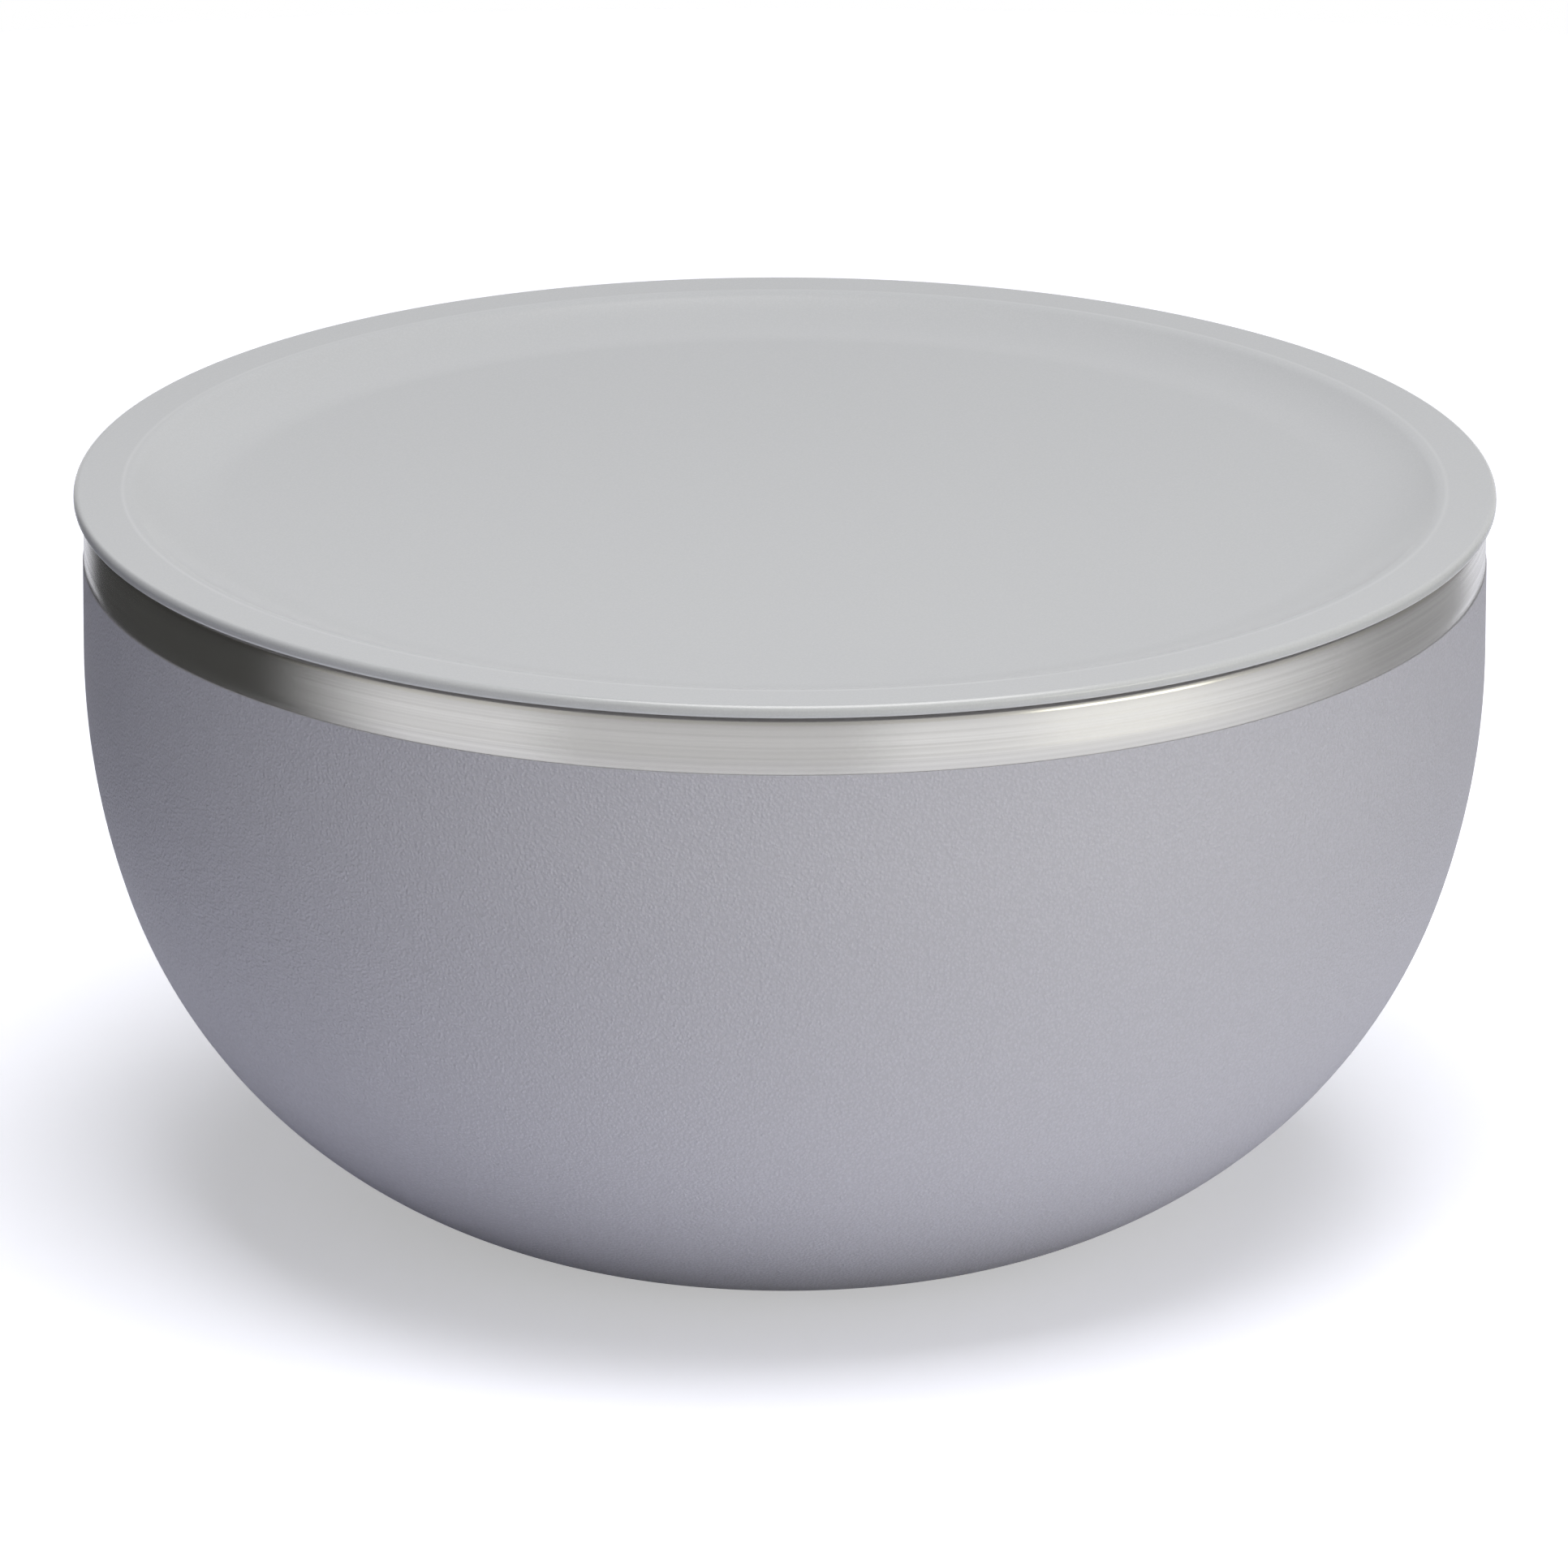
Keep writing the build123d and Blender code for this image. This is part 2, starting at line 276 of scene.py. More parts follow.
class Wiring:
    """A node tree with short calls that place nodes and link sockets."""

    def __init__(self, tree: bpy.types.NodeTree) -> None:
        """Keep the tree that the calls work on."""
        self.tree = tree

    def feed(self, socket: Socket, value: Any) -> None:
        """Link an output to a socket, or set the socket's own value."""
        if isinstance(value, Socket):
            self.tree.links.new(value, socket)
        else:
            socket.default_value = value

    def fill(self, node: Node, inputs: dict[str | int, Any]) -> None:
        """Feed several sockets of a node, by name or number."""
        for key, value in inputs.items():
            self.feed(node.inputs[key], value)

    def place(self, kind: str, inputs: dict[str | int, Any], **settings: Any) -> Node:
        """Add a node and fill its sockets.

        Args:
            kind: Blender's name of the node type.
            inputs: Socket name or number, and the value or the output that it takes.
            settings: Properties of the node.

        Returns:
            The new node.
        """
        node = self.tree.nodes.new(kind)
        for key, value in settings.items():
            setattr(node, key, value)
        self.fill(node, inputs)
        return node

    def effect(self, group: bpy.types.NodeTree, inputs: dict[str, Any]) -> Any:
        """Outputs of a shared node group, placed with its own values."""
        return self.place("ShaderNodeGroup", inputs, node_tree=group).outputs

    def sum_of(self, operation: str, *terms: Any) -> Socket:
        """Output of a Math node on one to three terms."""
        return self.place("ShaderNodeMath", dict(enumerate(terms)), operation=operation).outputs[0]

    def ranged(self, value: Any, given: Point, read: Point = UNIT, curve: str = "LINEAR") -> Socket:
        """A value mapped from one range to another and held inside it.

        Args:
            value: Output or number to map.
            given: Results at the start and at the end.
            read: Start and end of the range that is read.
            curve: How the result runs from one end to the other.

        Returns:
            The output of the Map Range node.
        """
        ends = {"From Min": read[0], "From Max": read[1], "To Min": given[0], "To Max": given[1]}
        node = self.place("ShaderNodeMapRange", {"Value": value, **ends}, interpolation_type=curve)
        return node.outputs["Result"]

    def tinted(self, mask: Any, first: Any, second: Any) -> Socket:
        """Colour that goes from the first to the second as the mask goes from 0 to 1."""
        first, second = ((*end, 1) if isinstance(end, tuple) else end for end in (first, second))
        return self.place("ShaderNodeMix", {0: mask, 6: first, 7: second}, data_type="RGBA").outputs[2]

    def noise(self, point: Any, scale: Any, detail: float = 2.0, **more: float) -> Socket:
        """Value of a noise texture at a point."""
        inputs = {"Vector": point, "Scale": scale, "Detail": detail, **more}
        return self.place("ShaderNodeTexNoise", inputs).outputs[0]

    def point(self) -> Socket:
        """Object coordinates in metres."""
        return self.place("ShaderNodeTexCoord", {}).outputs["Object"]

    def attribute(self, name: str) -> Socket:
        """A value that the mesh holds at each of its points."""
        return self.place("ShaderNodeAttribute", {}, attribute_name=name).outputs["Fac"]

    def vector(self, *parts: Any) -> Socket:
        """Vector put together from two or three parts."""
        return self.place("ShaderNodeCombineXYZ", dict(enumerate(parts))).outputs[0]

    def length(self, vector: Socket) -> Socket:
        """Length of a vector."""
        return self.place("ShaderNodeVectorMath", {0: vector}, operation="LENGTH").outputs["Value"]

    def emboss(self, shader: Node, height: Socket, depth: float, strength: float = 1.0) -> None:
        """Tilt a shader's normal by a map of heights."""
        bump = self.place("ShaderNodeBump", {"Strength": strength, "Distance": depth, "Height": height})
        self.feed(shader.inputs["Normal"], bump.outputs[0])


def shared_group(
    name: str, inputs: dict[str, float | None], outputs: list[str]
) -> tuple[bpy.types.NodeTree, Wiring, Node, Node]:
    """Start a node group with named sockets.

    Args:
        name: Name of the group.
        inputs: Name of each input socket and its default; the name Vector makes a vector socket.
        outputs: Names of the output sockets, which are single values.

    Returns:
        The group, its wiring, and its input and output nodes.
    """
    tree = bpy.data.node_groups.new(name, "ShaderNodeTree")
    for key, value in inputs.items():
        kind = "NodeSocketVector" if key == "Vector" else "NodeSocketFloat"
        socket = tree.interface.new_socket(key, in_out="INPUT", socket_type=kind)
        if key != "Vector":
            socket.default_value = value
    for key in outputs:
        tree.interface.new_socket(key, in_out="OUTPUT", socket_type="NodeSocketFloat")
    wire = Wiring(tree)
    return tree, wire, wire.place("NodeGroupInput", {}), wire.place("NodeGroupOutput", {})


def pebble_group() -> bpy.types.NodeTree:
    """Rounded grains of a moulded, sprayed or cast skin, as a height and a mask of the hollows.

    The height is a dome round each scattered point, times a slow drift, plus a share of finer noise.

    Returns:
        A group that takes a vector in metres, a grain size and a share of finer grain.
    """
    finer, dome_radius, softness = 2.6, 0.75, 0.6
    hollow_levels = (0.25, 0.7)
    tree, wire, given, result = shared_group(
        "pebble_grain", {"Vector": None, "Grain size": 0.001, "Fine share": 0.4}, ["Height", "Hollow"]
    )
    point = given.outputs["Vector"]
    per_metre = wire.sum_of("DIVIDE", 1.0, given.outputs["Grain size"])
    drift = wire.noise(point, per_metre, 1.0)
    cells = wire.place(
        "ShaderNodeTexVoronoi",
        {"Vector": point, "Scale": per_metre, "Smoothness": softness},
        feature="SMOOTH_F1",
    )
    fine = wire.noise(point, wire.sum_of("MULTIPLY", per_metre, finer))
    dome = wire.ranged(cells.outputs["Distance"], (1.0, 0.0), (0.0, dome_radius))
    uneven = wire.sum_of("MULTIPLY", dome, drift)
    height = wire.sum_of("MULTIPLY_ADD", fine, given.outputs["Fine share"], uneven)
    wire.fill(result, {"Height": height, "Hollow": wire.ranged(height, (1.0, 0.0), hollow_levels)})
    return tree


def smudge_group() -> bpy.types.NodeTree:
    """Soft cloudy patches left by handling and wiping, as a mask.

    Returns:
        A group that takes a vector in metres and a patch size.
    """
    detail, unevenness, swirl = 4.0, 0.55, 0.6
    levels = (0.35, 0.72)
    tree, wire, given, result = shared_group(
        "handling_smudge", {"Vector": None, "Patch size": 0.05}, ["Mask"]
    )
    per_metre = wire.sum_of("DIVIDE", 1.0, given.outputs["Patch size"])
    cloud = wire.noise(given.outputs["Vector"], per_metre, detail, Roughness=unevenness, Distortion=swirl)
    wire.feed(result.inputs["Mask"], wire.ranged(cloud, UNIT, levels))
    return tree


class Effects:
    """The shared node groups, built once and placed in each material with its own values."""

    def __init__(self) -> None:
        """Build every group."""
        self.pebble = pebble_group()
        self.smudge = smudge_group()

    def grain(self, wire: Wiring, size: float) -> tuple[Socket, Socket]:
        """Height of a grain of the given size, and the mask of its hollows."""
        placed = wire.effect(self.pebble, {"Vector": wire.point(), "Grain size": size})
        return placed["Height"], placed["Hollow"]

    def smudges(self, wire: Wiring, size: float) -> Socket:
        """Mask of smudges of the given size."""
        return wire.effect(self.smudge, {"Vector": wire.point(), "Patch size": size})["Mask"]


def started(name: str) -> tuple[Material, Wiring, Node]:
    """New material with only a Principled shader and its output.

    Args:
        name: Name of the material.

    Returns:
        The material, the wiring of its nodes and the shader.
    """
    material = bpy.data.materials.new(name)
    material.use_nodes = True
    tree = material.node_tree
    tree.nodes.clear()
    wire = Wiring(tree)
    shader = wire.place("ShaderNodeBsdfPrincipled", {})
    wire.place("ShaderNodeOutputMaterial", {"Surface": shader.outputs[0]})
    return material, wire, shader


@dataclass(frozen=True)
class PowderCoat:
    """Satin powder coat with a fine pebbled grain."""

    crest: Colour = (0.483, 0.479, 0.537)
    hollow: Colour = (0.435, 0.431, 0.483)
    roughness: float = 0.46
    hollow_dulling: float = 0.12
    cloud: Point = (-0.02, 0.03)  # change of roughness beside and in a smudge
    grain_size: float = 0.0006
    grain_depth: float = 0.00024
    smudge_size: float = 0.06

    def material(self, effects: Effects) -> Material:
        """Material of the coat: grain in colour, roughness and bump, with slow cloudiness in the gloss.

        Args:
            effects: Shared node groups.

        Returns:
            The new material.
        """
        material, wire, shader = started("powder_coat")
        height, hollow = effects.grain(wire, self.grain_size)
        cloud = wire.ranged(effects.smudges(wire, self.smudge_size), self.cloud)
        gloss = wire.ranged(hollow, (self.roughness, self.roughness + self.hollow_dulling))
        wire.feed(shader.inputs["Base Color"], wire.tinted(hollow, self.crest, self.hollow))
        wire.feed(shader.inputs["Roughness"], wire.sum_of("ADD", gloss, cloud))
        wire.emboss(shader, height, self.grain_depth)
        return material


@dataclass(frozen=True)
class BrushedSteel:
    """Stainless steel with fine brushed lines, a polished rim and painted shade on the collar under the
    lid's edge.
    """

    name: str
    bright: Colour = (0.67, 0.66, 0.617)
    dull: Colour = (0.56, 0.55, 0.516)
    roughness: float = 0.225
    brushing: Brushing = Brushing.ROUND_THE_AXIS
    line_pitch: float = 0.0004
    line_length: float = 0.35
    line_depth: float = 0.000004
    line_strength: float = 0.6
    line_levels: Point = (0.3, 0.7)  # noise at the bottom and at the top of a line
    line_gloss: Point = (0.03, -0.035)  # change of roughness at those two
    wide_pitch: float = 5.0  # pitch of the broad lines, counted in fine ones
    wide_share: float = 0.35
    stretch: float = 0.6  # how much wider the light spreads across the lines
    smudge_size: float = 0.035
    smudge_dulling: float = 0.014
    polished: Point = (0.135, 0.1354)  # heights between which the brushing gives way to the polished rim
    polished_roughness: float = 0.13
    painted_shade: Colour = (0.32, 0.305, 0.285)  # painted shade on the collar under the lid's edge
    painted_shade_height: Point = (0.1329, 0.1354)
    painted_shade_reach: Point = (0.1293, 0.13)

    def material(self, effects: Effects) -> Material:
        """Material of the steel: lines of stretched noise in colour, roughness and bump, with wiping marks
        and painted shade under the lid's edge.

        Args:
            effects: Shared node groups.

        Returns:
            The new material.
        """
        material, wire, shader = started(self.name)
        part = wire.place("ShaderNodeSeparateXYZ", {0: wire.point()}).outputs
        turned_lines = self.brushing is Brushing.ROUND_THE_AXIS
        across = wire.attribute("along") if turned_lines else part["Z"]
        spread = [wire.sum_of("DIVIDE", part[axis], self.line_length) for axis in "XY"]
        fine, wide = (
            wire.noise(wire.vector(*spread, wire.sum_of("DIVIDE", across, pitch)), 1.0, 1.0)
            for pitch in (self.line_pitch, self.line_pitch * self.wide_pitch)
        )
        line = wire.sum_of("MULTIPLY", fine, 1 - self.wide_share)
        line = wire.sum_of("MULTIPLY_ADD", wide, self.wide_share, line)
        clean = wire.tinted(wire.ranged(line, (1, 0), self.line_levels), self.bright, self.dull)
        # Painted shade: the collar's colour darkens towards the lid's edge, on its outer side only.
        high = wire.ranged(part["Z"], UNIT, self.painted_shade_height)
        outside = wire.ranged(wire.length(wire.vector(part["X"], part["Y"])), UNIT, self.painted_shade_reach)
        painted_shade = wire.sum_of("MULTIPLY", wire.sum_of("MULTIPLY", high, high), outside)
        low, top = (self.roughness + change for change in self.line_gloss)
        cloud = wire.ranged(effects.smudges(wire, self.smudge_size), (0, self.smudge_dulling))
        gloss = wire.sum_of("ADD", wire.ranged(line, (low, top), self.line_levels), cloud)
        over = wire.sum_of("SUBTRACT", gloss, self.polished_roughness)
        brushed = wire.ranged(part["Z"], (1, 0), self.polished)
        gloss = wire.sum_of("MULTIPLY_ADD", over, brushed, self.polished_roughness)
        colour = wire.tinted(painted_shade, clean, self.painted_shade)
        wire.fill(shader, {"Base Color": colour, "Metallic": 1.0, "Roughness": gloss})
        wire.emboss(shader, wide, self.line_depth, self.line_strength)
        if turned_lines:
            lay = wire.place("ShaderNodeTangent", {}, direction_type="UV_MAP", uv_map="turn")
            wire.fill(shader, {"Anisotropic": self.stretch, "Tangent": lay.outputs[0]})
        return material


@dataclass(frozen=True)
class MouldedPlastic:
    """Satin moulded plastic with a faint spark-eroded grain and slow cloudiness in its gloss."""

    crest: Colour = (0.51, 0.517, 0.532)
    hollow: Colour = (0.485, 0.492, 0.507)
    roughness: float = 0.24
    grain_size: float = 0.0004
    grain_depth: float = 0.000006
    grain_strength: float = 0.5
    smudge_size: float = 0.08
    smudge_dulling: float = 0.025
    # painted highlight: colour of the lighter line along the crease
    painted_crease_highlight: Colour = (0.57, 0.577, 0.592)
    highlight_radius: float = 0.123  # the crease, which the painted highlight follows
    highlight_width: float = 0.0006
    highlight_share: Point = (0.4, 1.0)  # beside and in a smudge

    def material(self, effects: Effects) -> Material:
        """Material of the lid: grain in colour and bump, smudges in the gloss, and a painted highlight along
        the crease.

        Args:
            effects: Shared node groups.

        Returns:
            The new material.
        """
        material, wire, shader = started("lid_plastic")
        height, hollow = effects.grain(wire, self.grain_size)
        smudge = effects.smudges(wire, self.smudge_size)
        part = wire.place("ShaderNodeSeparateXYZ", {0: wire.point()}).outputs
        reach = wire.length(wire.vector(part["X"], part["Y"]))
        # Painted highlight: a narrow lighter line along the crease, stronger in a smudge.
        off_crease = wire.sum_of("ABSOLUTE", wire.sum_of("SUBTRACT", reach, self.highlight_radius))
        painted_highlight = wire.ranged(off_crease, (1, 0), (0, self.highlight_width))
        painted_highlight = wire.sum_of("MULTIPLY", painted_highlight, wire.ranged(smudge, self.highlight_share))
        plain = wire.tinted(hollow, self.crest, self.hollow)
        gloss = wire.ranged(smudge, (self.roughness, self.roughness + self.smudge_dulling))
        wire.fill(shader, {"Base Color": wire.tinted(painted_highlight, plain, self.painted_crease_highlight), "Roughness": gloss})
        wire.emboss(shader, height, self.grain_depth, self.grain_strength)
        return material


@dataclass(frozen=True)
class Silicone:
    """Matt silicone rubber that gathers a little dust."""

    name: str
    skin: Colour
    dusty: Colour
    roughness: float = 0.58
    grain_size: float = 0.0005
    grain_depth: float = 0.00001
    grain_strength: float = 0.7
    dust_size: float = 0.012
    dust_dulling: float = 0.2

    def material(self, effects: Effects) -> Material:
        """Material of the rubber: fine grain in the bump, dust in colour and roughness.

        Args:
            effects: Shared node groups.

        Returns:
            The new material.
        """
        material, wire, shader = started(self.name)
        height, hollow = effects.grain(wire, self.grain_size)
        cover = wire.sum_of("MULTIPLY", effects.smudges(wire, self.dust_size), hollow)
        gloss = wire.ranged(cover, (self.roughness, self.roughness + self.dust_dulling))
        wire.fill(shader, {"Base Color": wire.tinted(cover, self.skin, self.dusty), "Roughness": gloss})
        wire.emboss(shader, height, self.grain_depth, self.grain_strength)
        return material


@dataclass(frozen=True)
class FusedGlass:
    """Dark sealing glass with a faint ripple."""

    clear: Colour = (0.16, 0.19, 0.17)
    cloudy: Colour = (0.34, 0.36, 0.34)
    gloss: Point = (0.06, 0.22)
    patch_size: float = 0.003
    ripple_depth: float = 0.0001
    ripple_strength: float = 0.4

    def material(self, effects: Effects) -> Material:
        """Material of the bead that closes the port: one cloud in colour, roughness and bump.

        Args:
            effects: Shared node groups.

        Returns:
            The new material.
        """
        material, wire, shader = started("seal_glass")
        cloud = effects.smudges(wire, self.patch_size)
        colour = wire.tinted(cloud, self.clear, self.cloudy)
        wire.fill(shader, {"Base Color": colour, "Roughness": wire.ranged(cloud, self.gloss)})
        wire.emboss(shader, cloud, self.ripple_depth, self.ripple_strength)
        return material


@dataclass(frozen=True)
class SinteredAlloy:
    """Grey pressed powder of a getter."""

    crest: Colour = (0.25, 0.25, 0.26)
    hollow: Colour = (0.11, 0.11, 0.12)
    gloss: Point = (0.55, 0.85)
    metal: Point = (0.7, 0.3)
    grain_size: float = 0.0003
    grain_depth: float = 0.00004
    grain_strength: float = 0.8

    def material(self, effects: Effects) -> Material:
        """Material of the getter pellet: grain in colour, roughness, metal and bump.

        Args:
            effects: Shared node groups.

        Returns:
            The new material.
        """
        material, wire, shader = started("getter_alloy")
        height, hollow = effects.grain(wire, self.grain_size)
        wire.feed(shader.inputs["Base Color"], wire.tinted(hollow, self.crest, self.hollow))
        wire.feed(shader.inputs["Roughness"], wire.ranged(hollow, self.gloss))
        wire.feed(shader.inputs["Metallic"], wire.ranged(hollow, self.metal))
        wire.emboss(shader, height, self.grain_depth, self.grain_strength)
        return material


def dress(piece: Piece, material: Material, node: str, body: Body) -> None:
    """Give a new piece its finish and body, hide the CAD node that it stands for, and log it.

    Args:
        piece: The new piece.
        material: Its finish.
        node: CAD node that it stands for.
        body: Body that it moves with.
    """
    piece.data.materials.append(material)
    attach(piece, body.value)
    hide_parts(node)
    log.info("%s: %d faces for %s", piece.name, len(piece.data.polygons), node)


@dataclass
class Bowl:
    """Double wall: coated outer shell, and steel liner with its rolled rim and bare collar."""

    body_radius: float = 0.13035
    bowl_height: float = 0.1358
    base_radius: float = 0.055
    collar_height: float = 0.0108
    straight_height: float = 0.028
    shoulder_sweep: float = 18.5
    heel_sweep: float = 23.2
    heel_radius: float = 0.0343
    sheet: float = 0.0008
    coat: float = 0.00018
    coat_edge_round: float = 0.00014
    spigot_height: float = 0.003
    spigot_fit: float = 0.0001
    rim_width: float = 0.0032
    vacuum_gap: float = 0.007
    foot_height: float = 0.0012
    panel_radius: float = 0.0417
    panel_rise: float = 0.0012
    bend_radius: float = 0.0012
    dimple_radius: float = 0.009
    dimple_depth: float = 0.003
    port_radius: float = 0.001
    shell_radius: float = field(init=False)
    shell_thickness: float = field(init=False)
    seam_height: float = field(init=False)
    shoulder_height: float = field(init=False)
    shoulder_radius: float = field(init=False)
    belly_radius: float = field(init=False)
    mouth_taper: float = field(init=False)
    rim_radius: float = field(init=False)
    lip: Point = field(init=False)

    def __post_init__(self) -> None:
        """Work out the side's tangent arcs and the mouth's taper.

        The shoulder's and the belly's radius solve the two equations that say how far in and how far down
        the side goes while it turns from upright to level. The mouth is a cone that touches belly and rim.
        """
        self.shell_radius = self.body_radius + self.coat
        self.shell_thickness = self.sheet + self.coat
        self.seam_height = self.bowl_height - self.collar_height
        self.shoulder_height = self.bowl_height - self.straight_height
        self.rim_radius = self.rim_width / 2
        shoulder, heel = radians(self.shoulder_sweep), radians(self.heel_sweep)
        inwards = [1 - cos(shoulder), cos(shoulder) - sin(heel)]
        downwards = [sin(shoulder), cos(heel) - sin(shoulder)]
        left = [
            self.shell_radius - self.base_radius - self.heel_radius * sin(heel),
            self.shoulder_height - self.foot_height - self.heel_radius * (1 - cos(heel)),
        ]
        self.shoulder_radius, self.belly_radius = np.linalg.solve([inwards, downwards], left).tolist()
        rim, belly = self.rim_centre, self.belly_centre
        across = (rim[0] - belly[0], rim[1] - belly[1])
        touch = (self.belly_radius - self.liner_inset + self.rim_radius) / hypot(*across)
        mouth = acos(touch) - atan2(across[1], across[0])
        self.mouth_taper = float(np.degrees(mouth))
        self.lip = (rim[0] - self.rim_radius * cos(mouth), rim[1] + self.rim_radius * sin(mouth))

    @property
    def liner_inset(self) -> float:
        """Distance from the shell's outside to the liner's inside."""
        return self.shell_thickness + self.vacuum_gap + self.sheet

    @property
    def shoulder_centre(self) -> Point:
        """Centre of the side's first arc."""
        return self.shell_radius - self.shoulder_radius, self.shoulder_height

    @property
    def belly_centre(self) -> Point:
        """Centre of the side's middle arc."""
        turn, between = radians(self.shoulder_sweep), self.shoulder_radius - self.belly_radius
        return self.shoulder_centre[0] + between * cos(turn), self.shoulder_centre[1] - between * sin(turn)

    @property
    def heel_centre(self) -> Point:
        """Centre of the side's last arc."""
        return self.base_radius, self.foot_height + self.heel_radius

    @property
    def rim_centre(self) -> Point:
        """Centre of the rolled rim's section."""
        return self.body_radius - self.rim_radius, self.bowl_height - self.rim_radius

    def mouth_radius(self, height: float) -> float:
        """Radius of the liner's tapered mouth at a height."""
        return self.lip[0] - (self.lip[1] - height) * tan(radians(self.mouth_taper))

    def side(self, inset: float, step: float = LONG_STEP) -> np.ndarray:
        """Shell's side from the flat up to the shoulder, moved in by an inset.

        Args:
            inset: Distance inside the coated face.
            step: Largest angle between two points.

        Returns:
            Points of the three arcs.
        """
        low, high = self.heel_sweep - 90, -self.shoulder_sweep
        return joined(
            arc(self.heel_centre, self.heel_radius - inset, -90, low, step),
            arc(self.belly_centre, self.belly_radius - inset, low, high, step),
            arc(self.shoulder_centre, self.shoulder_radius - inset, high, 0, step),
        )

    def shell_floor(self, rise: float, shift: float) -> np.ndarray:
        """Shell's floor from the port out to the heel, with its raised panel and the dimple round the port.

        Args:
            rise: Height above the coated face.
            shift: Distance that the rise moves the foot and the head of each step outwards.

        Returns:
            Points of the floor, bends rounded.
        """
        low, bend = self.foot_height + rise, self.bend_radius
        panel, dimple = low + self.panel_rise, low + self.panel_rise + self.dimple_depth
        return rounded(
            [
                (self.port_radius, dimple, 0),
                (self.dimple_radius + shift, dimple, bend),
                (self.dimple_radius + self.dimple_depth + shift, panel, bend),
                (self.panel_radius + shift, panel, bend),
                (self.panel_radius + self.panel_rise + shift, low, bend),
                (self.base_radius, low, 0),
            ],
            step=BEND_STEP,
        )

    def shell_outline(self) -> np.ndarray:
        """Section of the coated shell: outside, rounded edge of the coat, locating spigot and inside.

        Returns:
            Points of the closed section.
        """
        wall, seam = self.shell_thickness, self.seam_height
        spigot = self.body_radius - self.sheet - self.spigot_fit
        bore = spigot - self.sheet
        inside = self.shell_radius - wall
        edge = rounded(
            [
                (self.shell_radius, self.shoulder_height, 0),
                (self.shell_radius, seam, self.coat_edge_round),
                (spigot, seam, self.coat_edge_round),
                (spigot, seam + self.spigot_height, self.sheet / 4),
                (bore, seam + self.spigot_height, self.sheet / 4),
                (bore, seam - self.sheet, self.coat_edge_round),
                (inside, seam - self.sheet - (inside - bore), self.coat_edge_round),
                (inside, self.shoulder_height, 0),
            ],
            step=EDGE_STEP,
        )
        shift = wall * tan(pi / 8)
        back = joined(self.shell_floor(wall, shift), self.side(wall, FINE_STEP))
        return joined(self.shell_floor(0, 0), self.side(0), edge, back[::-1])

    def liner_skin(self, depth: float) -> np.ndarray:
        """One face of the liner, from the axis over the floor, wall and rim to the collar's lower edge.

        Args:
            depth: Distance behind the face that food touches.

        Returns:
            Points of the face.
        """
        inset = self.liner_inset - depth
        return joined(
            np.array([[0, self.foot_height + inset]]),
            arc(self.heel_centre, self.heel_radius - inset, -90, self.heel_sweep - 90),
            arc(self.belly_centre, self.belly_radius - inset, self.heel_sweep - 90, -self.mouth_taper),
            arc(self.rim_centre, self.rim_radius - depth, 180 - self.mouth_taper, 0, RIM_STEP),
            np.array([[self.body_radius - depth, self.seam_height]]),
        )

    def liner_outline(self) -> np.ndarray:
        """Section of the liner: its bright face, then its back."""
        return joined(self.liner_skin(0), self.liner_skin(self.sheet)[::-1])

    def build(self, coat: Material, steel: Material) -> None:
        """Make and dress the two walls.

        Args:
            coat: Finish of the shell.
            steel: Finish of the liner.
        """
        dress(turned("coated_shell", self.shell_outline()), coat, "outer_shell", Body.BOWL)
        dress(turned("steel_liner", self.liner_outline()), steel, "inner_liner", Body.BOWL)


@dataclass
class Base:
    """Pieces under the bowl and the small ones sealed inside its wall."""

    foot_radius: float = 0.0534
    foot_bore: float = 0.0444
    foot_height: float = 0.0012
    foot_round: float = 0.0004
    cover_radius: float = 0.0411
    cover_top: float = 0.0024
    cover_thickness: float = 0.0008
    cover_round: float = 0.0003

    def foot_outline(self) -> np.ndarray:
        """Section of the foot ring, rounded where it meets the table.

        Returns:
            Points of the section.
        """
        return rounded(
            [
                (self.foot_bore, self.foot_height, 0),
                (self.foot_bore, 0, self.foot_round),
                (self.foot_radius, 0, self.foot_round),
                (self.foot_radius, self.foot_height, 0),
            ],
            step=BEND_STEP,
        )

    def cover_outline(self) -> np.ndarray:
        """Section of the disc over the port, rounded at its lower edge.

        Returns:
            Points of the section, from axis to axis.
        """
        low = self.cover_top - self.cover_thickness
        return rounded(
            [
                (0, low, 0),
                (self.cover_radius, low, self.cover_round),
                (self.cover_radius, self.cover_top, self.cover_round / 6),
                (0, self.cover_top, 0),
            ],
            step=BEND_STEP,
        )

    def build(self, rubber: Material, steel: Material) -> None:
        """Make and dress the foot ring and the cover.

        Args:
            rubber: Finish of the foot ring.
            steel: Finish of the cover.
        """
        dress(turned("foot_rubber", self.foot_outline()), rubber, "foot_ring", Body.BOWL)
        dress(turned("port_cover", self.cover_outline()), steel, "base_cover", Body.BOWL)

    def dress_sealed(self, finishes: dict[str, Material]) -> None:
        """Give the CAD pieces inside the wall their finishes.

        Args:
            finishes: CAD node and its material.
        """
        for node, material in finishes.items():
            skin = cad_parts[node].data.materials
            skin.clear()
            skin.append(material)
            log.info("%s: CAD mesh in %s", node, material.name)


